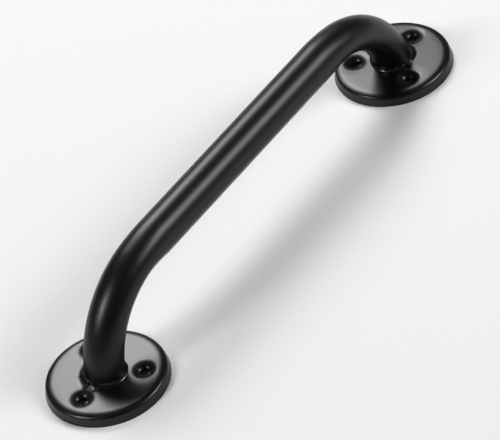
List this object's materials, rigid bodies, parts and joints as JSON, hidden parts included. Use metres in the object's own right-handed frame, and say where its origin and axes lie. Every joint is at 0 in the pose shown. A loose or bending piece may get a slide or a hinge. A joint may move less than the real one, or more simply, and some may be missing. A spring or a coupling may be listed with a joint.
{
  "type": "grab bar",
  "caption": "Wall grab bar: a round steel tube bent square at its ends and welded into pressed round flanges with dimpled screw holes, in satin black powder coat.",
  "frame": {"origin": "on the wall plane, midway between the two flange centres", "axes": "+X along the bar, +Z away from the wall, +Y across the bar"},
  "size_m": [0.3814, 0.0764, 0.0707],
  "materials": {
    "black_powder_coat": "satin powder coat"
  },
  "bodies": {
    "root": {"tube": "black_powder_coat", "left_flange": "black_powder_coat", "right_flange": "black_powder_coat", "left_weld": "black_powder_coat", "right_weld": "black_powder_coat"}
  },
  "joints": []
}
